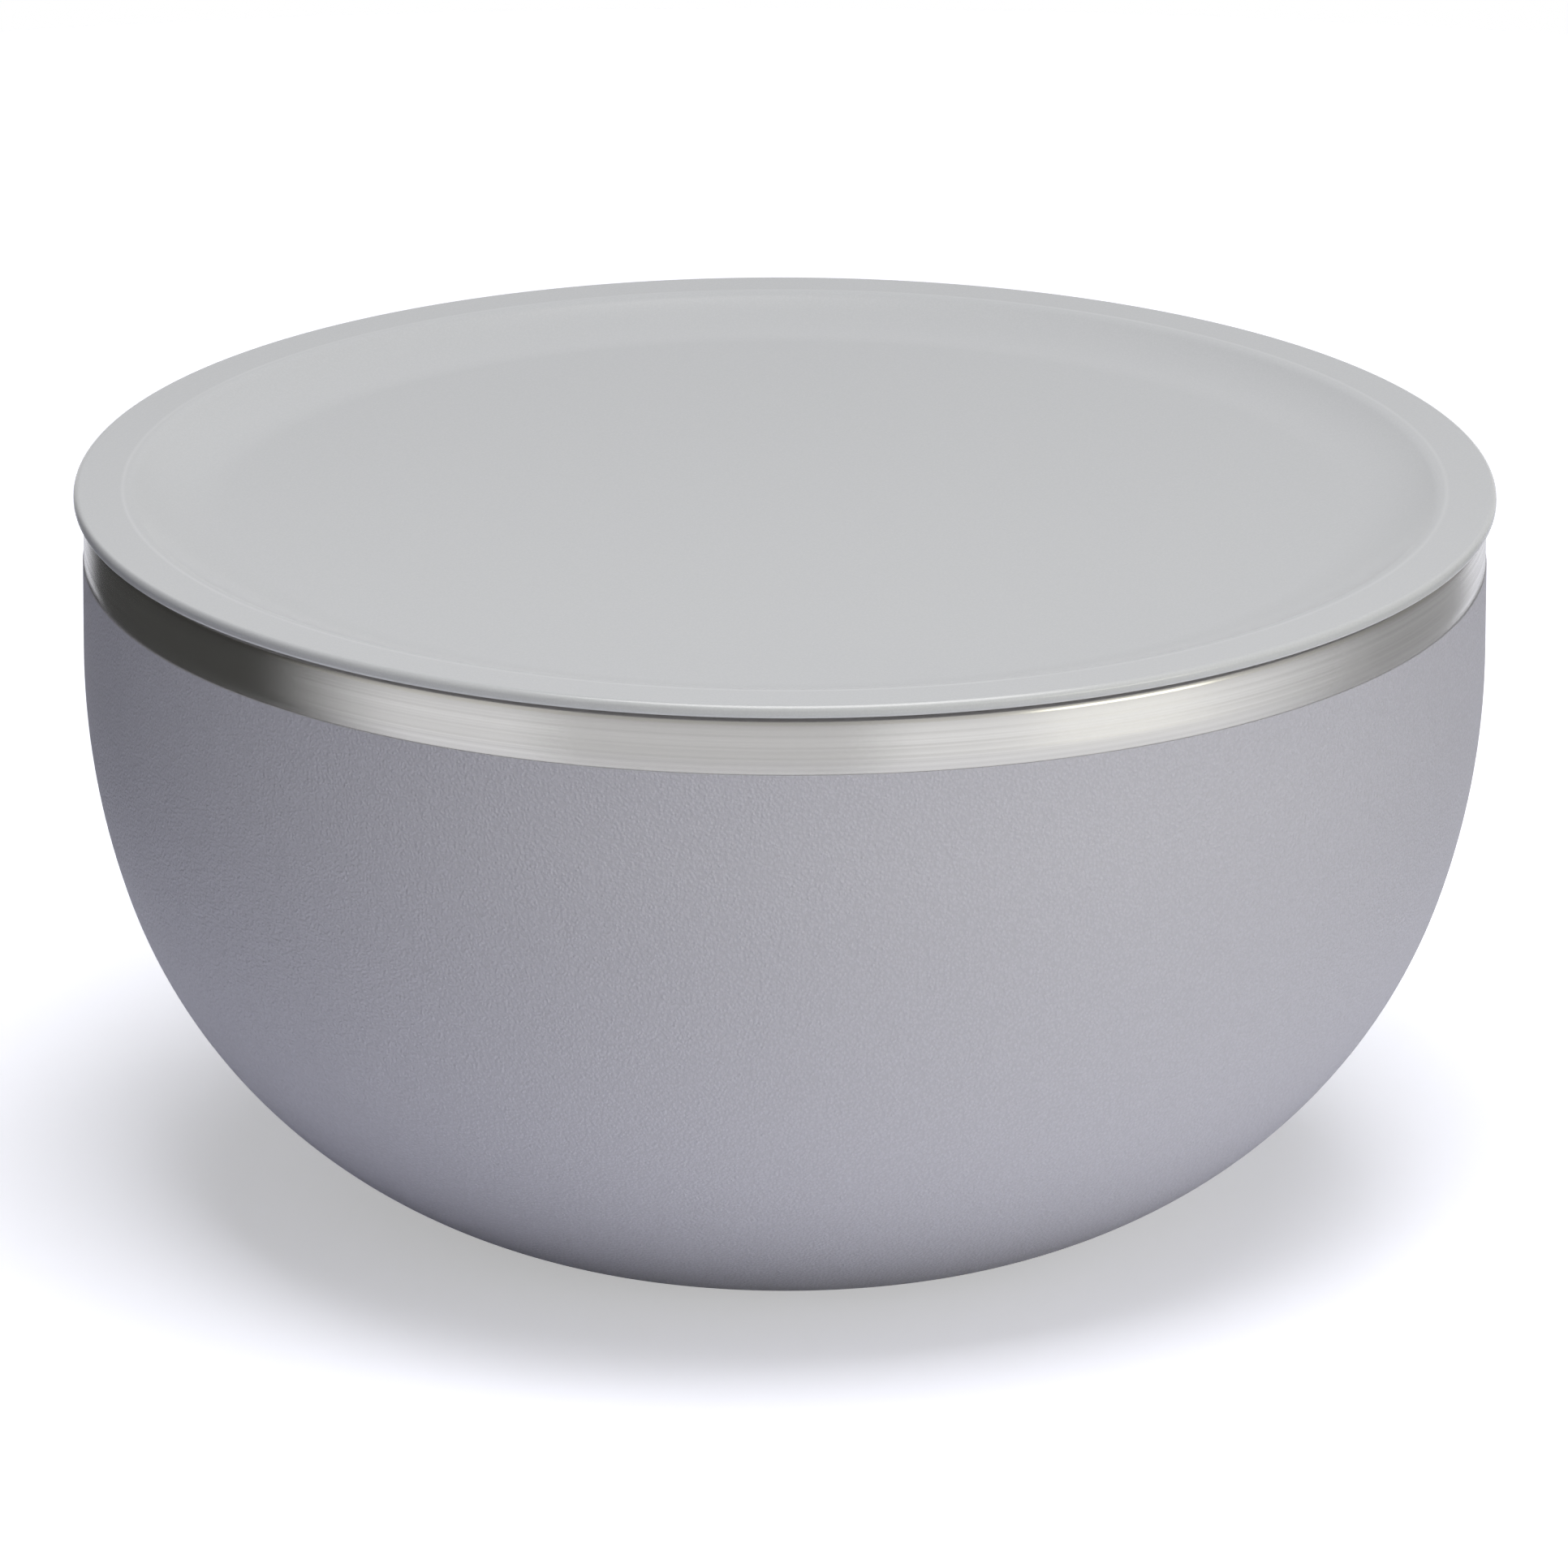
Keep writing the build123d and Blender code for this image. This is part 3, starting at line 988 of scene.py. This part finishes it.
@dataclass
class Lid:
    """Moulded lid with its plug, and the finned gasket in the plug's groove."""

    bowl: Bowl
    overhang: float = 0.00181  # a hair less than in CAD, inside the facets of its mesh
    wall: float = 0.0025
    seat_gap: float = 0.0003
    edge_round: float = 0.0011
    lower_edge_round: float = 0.001
    ring_width: float = 0.0093
    crease_round: float = 0.005
    dish_depth: float = 0.0047
    slope_run: float = 0.0184
    plug_depth: float = 0.011
    plug_wall: float = 0.003
    plug_gap: float = 0.0012
    plug_round: float = 0.0008
    groove_drop: float = 0.0032
    groove_height: float = 0.0044
    groove_depth: float = 0.0016
    groove_round: float = 0.0002
    root_round: float = 0.0005
    gasket_fit: float = 0.0001
    fin_thickness: float = 0.0007
    fin_lift: float = 0.0006
    fin_pitch: float = 0.0024
    fin_round: float = 0.00015
    seal_clearance: float = 0.0002

    @property
    def radius(self) -> float:
        """Outside radius."""
        return self.bowl.body_radius + self.overhang

    @property
    def seat(self) -> float:
        """Height of the ring's underside."""
        return self.bowl.bowl_height + self.seat_gap

    @property
    def top(self) -> float:
        """Height of the level ring."""
        return self.seat + self.wall

    @property
    def groove(self) -> tuple[float, float, float]:
        """Bottom radius, lower height and upper height of the gasket's groove."""
        head = self.seat - self.groove_drop
        foot = head - self.groove_height
        return self.plug_radius((head + foot) / 2) - self.groove_depth, foot, head

    def plug_radius(self, height: float) -> float:
        """Outside radius of the plug, which follows the mouth's taper."""
        return self.bowl.mouth_radius(height) - self.plug_gap

    def dish(self, drop: float) -> np.ndarray:
        """Dish from the axis to the level ring: a level floor, a rising arc and the rounding of the crease.

        The two arcs meet at a common tangent and rise by the dish's depth over the slope's run. So their
        radii add up to (run squared + depth squared) / (2 depth), and the sine of their sweep is the run
        over that.

        Args:
            drop: Distance below the upper face.

        Returns:
            Points of the dish.
        """
        run, depth, bend = self.slope_run, self.dish_depth, self.crease_round
        both = (run**2 + depth**2) / (2 * depth)
        sweep = float(np.degrees(np.arcsin(run / both)))
        ring, floor = self.radius - self.ring_width, self.top - depth
        slope = arc((ring - run, floor + both - bend), both - bend + drop, -90, sweep - 90)
        crease = arc((ring, self.top - bend), bend - drop, 90 + sweep, 90, step=FINE_STEP)
        return joined(np.array([[0, floor - drop]]), slope, crease)

    def panel_outline(self) -> np.ndarray:
        """Section of the lid: dish, crease, ring and edge, then the plug with its groove and the underside.

        Returns:
            Points of the section, from axis to axis.
        """
        groove_bottom, groove_foot, groove_head = self.groove
        plug_foot = self.seat - self.plug_depth
        upper, under = self.dish(0), self.dish(self.wall)
        flat, hair = self.seat, self.groove_round
        edge = rounded(
            [
                (*upper[-1], 0),
                (self.radius, self.top, self.edge_round),
                (self.radius, flat, self.lower_edge_round),
                (self.plug_radius(flat), flat, self.root_round),
                (self.plug_radius(groove_head), groove_head, hair),
                (groove_bottom, groove_head, hair),
                (groove_bottom, groove_foot, hair),
                (self.plug_radius(groove_foot), groove_foot, hair),
                (self.plug_radius(plug_foot), plug_foot, self.plug_round),
                (self.plug_radius(plug_foot) - self.plug_wall, plug_foot, self.plug_round),
                (self.plug_radius(flat) - self.plug_wall, flat, self.root_round),
                (*under[-1], 0),
            ],
            step=MOULD_STEP,
        )
        return joined(upper[:-1], edge[:-1], under[::-1])

    def gasket_outline(self) -> np.ndarray:
        """Section of the gasket: a band in the groove with two upturned fins.

        Returns:
            Points of the closed section.
        """
        bottom, foot, head = self.groove
        bottom, foot, head = bottom + self.gasket_fit, foot + self.gasket_fit, head - self.gasket_fit
        middle, half = (foot + head) / 2, self.fin_thickness / 2
        corners = [(bottom, foot, self.fin_round), (self.plug_radius(foot), foot, self.fin_round)]
        for level in (middle - self.fin_pitch / 2, middle + self.fin_pitch / 2):
            low, high = level - half, level + half
            tips = [self.bowl.mouth_radius(z + self.fin_lift) - self.seal_clearance for z in (low, high)]
            corners += [
                (self.plug_radius(low), low, self.fin_round),
                (tips[0], low + self.fin_lift, self.fin_round),
                (tips[1], high + self.fin_lift, self.fin_round),
                (self.plug_radius(high), high, self.fin_round),
            ]
        corners += [(self.plug_radius(head), head, self.fin_round), (bottom, head, 0), (bottom, middle, 0)]
        return rounded([(bottom, middle, 0), *corners], step=FIN_STEP)[:-1]

    def build(self, plastic: Material, rubber: Material) -> None:
        """Make and dress the lid and its gasket.

        Args:
            plastic: Finish of the lid.
            rubber: Finish of the gasket.
        """
        dress(turned("moulded_lid", self.panel_outline()), plastic, "lid_panel", Body.LID)
        gasket = turned("finned_gasket", self.gasket_outline())
        dress(gasket, rubber, "lid_gasket", Body.LID)


@dataclass(frozen=True)
class Lamp:
    """A soft area lamp that faces the bowl."""

    name: str
    azimuth: float  # from the camera's side, towards +X
    elevation: float
    distance: float
    width: float
    height: float
    power: float
    colour: Colour = (1.0, 1.0, 1.0)
    shiny: bool = True  # shows in reflections
    target: tuple[float, float, float] = (0.0, 0.0, 0.068)

    def hang(self) -> None:
        """Make the lamp at its distance from the target and turn it there."""
        light = bpy.data.lights.new(self.name, "AREA")
        light.shape = "RECTANGLE"
        light.size, light.size_y = self.width, self.height
        light.energy = self.power
        light.color = self.colour
        lamp = stood(self.name, light)
        turn, rise = radians(self.azimuth), radians(self.elevation)
        away = Vector((sin(turn) * cos(rise), -cos(turn) * cos(rise), sin(rise)))
        lamp.location = Vector(self.target) + away * self.distance
        lamp.rotation_mode = "QUATERNION"
        lamp.rotation_quaternion = (-away).to_track_quat("-Z", "Y")
        lamp.visible_camera = False
        lamp.visible_glossy = self.shiny


@dataclass(frozen=True)
class Card:
    """A dull card that leans away from the bowl and is bent round it, seen only in reflections."""

    name: str
    first: float  # azimuths of its two edges, from the camera's side towards +X
    last: float
    shade: float
    cover: float = 1.0
    fade: Point = (12.0, 12.0)  # degrees over which the first and the last edge fade out
    foot: Point = (0.24, 0.003)
    head: Point = (0.42, 0.45)
    columns: int = 97
    rows: int = 6
    weave: float = 40.0  # flecks per metre
    contrast: Point = (1.1, 0.9)

    def stand(self) -> None:
        """Make the card: a straight line from foot to head in the (r, z) plane, carried round the axis.

        Its cover falls to nothing towards both upright edges, as a smooth step of the angle from the edge.
        """
        turn = np.linspace(self.first, self.last, self.columns)
        share = np.linspace(0, 1, self.rows)
        turns, shares = np.meshgrid(np.radians(turn), share, indexing="ij")
        reach = self.foot[0] + (self.head[0] - self.foot[0]) * shares
        height = self.foot[1] + (self.head[1] - self.foot[1]) * shares
        spots = np.stack((reach * np.sin(turns), -reach * np.cos(turns), height), axis=2)
        card = sheet_mesh(self.name, spots)
        from_edge = np.minimum((turn - self.first) / self.fade[0], (self.last - turn) / self.fade[1])
        inside = np.clip(from_edge, 0, 1)
        cover = np.repeat(self.cover * inside**2 * (3 - 2 * inside), self.rows)
        card.data.attributes.new("cover", "FLOAT", "POINT").data.foreach_set("value", cover)
        material, wire, shader = started(self.name)
        light, dark = ((self.shade * level,) * 3 for level in self.contrast)
        colour = wire.tinted(wire.noise(wire.point(), self.weave), light, dark)
        cover = wire.attribute("cover")
        wire.fill(shader, {"Base Color": colour, "Roughness": DULL_ROUGHNESS, "Alpha": cover})
        card.data.materials.append(material)
        card.visible_camera = card.visible_diffuse = card.visible_shadow = False
        card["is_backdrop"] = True


@dataclass
class Studio:
    """Pale floor, soft lamps, cards and the camera at the photograph's angle."""

    image_size: int = 1932
    sensor: float = 36.0
    elevation: float = 17.6
    distance: float = 3.3
    pixels_per_metre: float = 6628.8
    aim_pixel: Point = (966.2, 595.3)
    roll: float = 0.15
    ambient: float = 0.02
    floor_radius: float = 0.8
    shadow_radius: float = 0.1
    white_radius: float = 0.3
    floor_columns: int = 97
    floor_rows: int = 12
    floor_shade: Colour = (0.888, 0.896, 0.985)
    floor_shine: float = 0.1
    paper_scale: float = 60.0
    paper_detail: float = 3.0
    paper_contrast: float = 0.98
    floor_glow: float = 0.42
    shiny_glow: float = 0.15

    def light(self) -> None:
        """Hang the lamps and stand the cards."""
        lamps = (
            Lamp("key_lamp", 54, 5, 1.6, 0.8, 0.5, 4.7, (1.0, 0.99, 0.86)),
            Lamp("fill_lamp", 25, 3, 1.6, 1.1, 0.4, 6.8, (1.0, 0.99, 0.86), False),
            Lamp("top_lamp", 25, 80, 2.3, 1.7, 1.7, 55.0),
        )
        cards = (
            Card("left_card", -138, -48, 0.06, 1.0, (14, 28)),
            Card("front_card", -36, 18, 0.7, 0.4, (12, 12)),
            Card("right_card", 56, 128, 0.35, 0.7, (40, 14)),
            Card("back_card", 120, 240, 0.1, 0.36, (35, 35), (0.38, 0.16), (0.42, 0.272)),
        )
        for lamp in lamps:
            lamp.hang()
        for card in cards:
            card.stand()

    def surround(self) -> None:
        """White world for the camera and for reflections, and a plain level of light from all round."""
        world = bpy.data.worlds.new("studio")
        bpy.context.scene.world = world
        world.use_nodes = True
        world.node_tree.nodes.clear()
        wire = Wiring(world.node_tree)
        path = wire.place("ShaderNodeLightPath", {}).outputs
        seen = wire.sum_of("MAXIMUM", path["Is Camera Ray"], path["Is Glossy Ray"])
        seen = wire.sum_of("MAXIMUM", seen, path["Is Transmission Ray"])
        strength = wire.ranged(seen, (self.ambient, 1.0))
        glow = wire.place("ShaderNodeBackground", {"Color": (1, 1, 1, 1), "Strength": strength})
        wire.place("ShaderNodeOutputWorld", {"Surface": glow.outputs[0]})

    def lay_floor(self) -> None:
        """Round pale floor that takes the bowl's shadow and is white to the camera beyond it."""
        turn = np.linspace(0, 2 * pi, self.floor_columns)
        reach = np.linspace(0, self.floor_radius, self.floor_rows)
        turns, reaches = np.meshgrid(turn, reach, indexing="ij")
        spots = np.stack((reaches * np.cos(turns), reaches * np.sin(turns), 0 * turns), axis=2)
        floor = sheet_mesh("floor", spots)
        material, wire, shader = started("pale_floor")
        paper = wire.noise(wire.point(), self.paper_scale, self.paper_detail)
        pale = tuple(self.paper_contrast * level for level in self.floor_shade)
        wire.feed(shader.inputs["Base Color"], wire.tinted(paper, pale, self.floor_shade))
        wire.fill(shader, {"Roughness": DULL_ROUGHNESS, "Specular IOR Level": self.floor_shine})
        path = wire.place("ShaderNodeLightPath", {}).outputs
        seen = wire.sum_of("MAXIMUM", path["Is Glossy Ray"], path["Is Transmission Ray"])
        shade = (self.shadow_radius, self.white_radius)
        clear_of_bowl = wire.ranged(wire.length(wire.point()), UNIT, shade, "SMOOTHSTEP")
        shiny = wire.sum_of("MULTIPLY", clear_of_bowl, self.shiny_glow)
        shiny = wire.sum_of("MULTIPLY", seen, shiny)
        plain = wire.sum_of("MULTIPLY", path["Is Camera Ray"], self.floor_glow)
        glow = wire.place("ShaderNodeEmission", {"Strength": wire.sum_of("MAXIMUM", plain, shiny)})
        both = wire.place("ShaderNodeAddShader", {0: shader.outputs[0], 1: glow.outputs[0]})
        clear = wire.place("ShaderNodeBsdfTransparent", {})
        side = wire.place("ShaderNodeNewGeometry", {}).outputs["Backfacing"]
        shown = wire.place("ShaderNodeMixShader", {0: side, 1: both.outputs[0], 2: clear.outputs[0]})
        wire.feed(wire.tree.nodes["Material Output"].inputs["Surface"], shown.outputs[0])
        floor.data.materials.append(material)
        floor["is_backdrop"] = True

    def place_camera(self, aim: Vector) -> None:
        """Camera at the photograph's angle, aimed so that the lid's centre falls on its pixel.

        Args:
            aim: Centre of the lid's upper face.
        """
        data = bpy.data.cameras.new("camera")
        data.sensor_width = self.sensor
        focal = self.pixels_per_metre * self.distance
        data.lens = focal * self.sensor / self.image_size
        rise = radians(self.elevation)
        camera = stood("camera", data)
        camera.location = aim + Vector((0, -cos(rise), sin(rise))) * self.distance
        half = self.image_size / 2
        dip = rise + atan2(half - self.aim_pixel[1], focal)
        pan = atan2(self.aim_pixel[0] - half, focal)
        roll = Matrix.Rotation(radians(self.roll), 4, "Z")
        turn = Matrix.Rotation(pan, 4, "Z") @ Matrix.Rotation(pi / 2 - dip, 4, "X") @ roll
        camera.rotation_mode = "QUATERNION"
        camera.rotation_quaternion = turn.to_quaternion()
        bpy.context.scene.camera = camera


def main() -> None:
    """Build the bowl, its base, its lid and the studio in order, and note the sizes."""
    logging.basicConfig(level=logging.INFO, format="%(name)s %(message)s")
    bpy.context.scene.view_settings.view_transform = "Standard"
    effects = Effects()
    bowl = Bowl()
    bowl.build(PowderCoat().material(effects), BrushedSteel("liner_steel").material(effects))
    base = Base()
    foot = Silicone("foot_silicone", (0.06, 0.06, 0.064), (0.2, 0.2, 0.2))
    cover = BrushedSteel("cover_steel", (0.6, 0.59, 0.575), (0.5, 0.49, 0.48), 0.34)
    base.build(foot.material(effects), cover.material(effects))
    cup = BrushedSteel("getter_steel", (0.5, 0.5, 0.5), (0.4, 0.4, 0.4), 0.35, Brushing.PRESSED)
    base.dress_sealed(
        {
            "port_seal": FusedGlass().material(effects),
            "getter_cup": cup.material(effects),
            "getter_pellet": SinteredAlloy().material(effects),
        }
    )
    lid = Lid(bowl)
    gasket = Silicone("gasket_silicone", (0.72, 0.72, 0.71), (0.6, 0.6, 0.58))
    lid.build(MouldedPlastic().material(effects), gasket.material(effects))
    studio = Studio()
    studio.surround()
    studio.lay_floor()
    studio.light()
    studio.place_camera(Vector((0, 0, lid.top)))
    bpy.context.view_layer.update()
    boxes = ([list(corner) for corner in box] for box in (cad_box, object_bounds()))
    log.info("CAD box %s, visual box %s", *boxes)


if __name__ == "__main__":
    main()
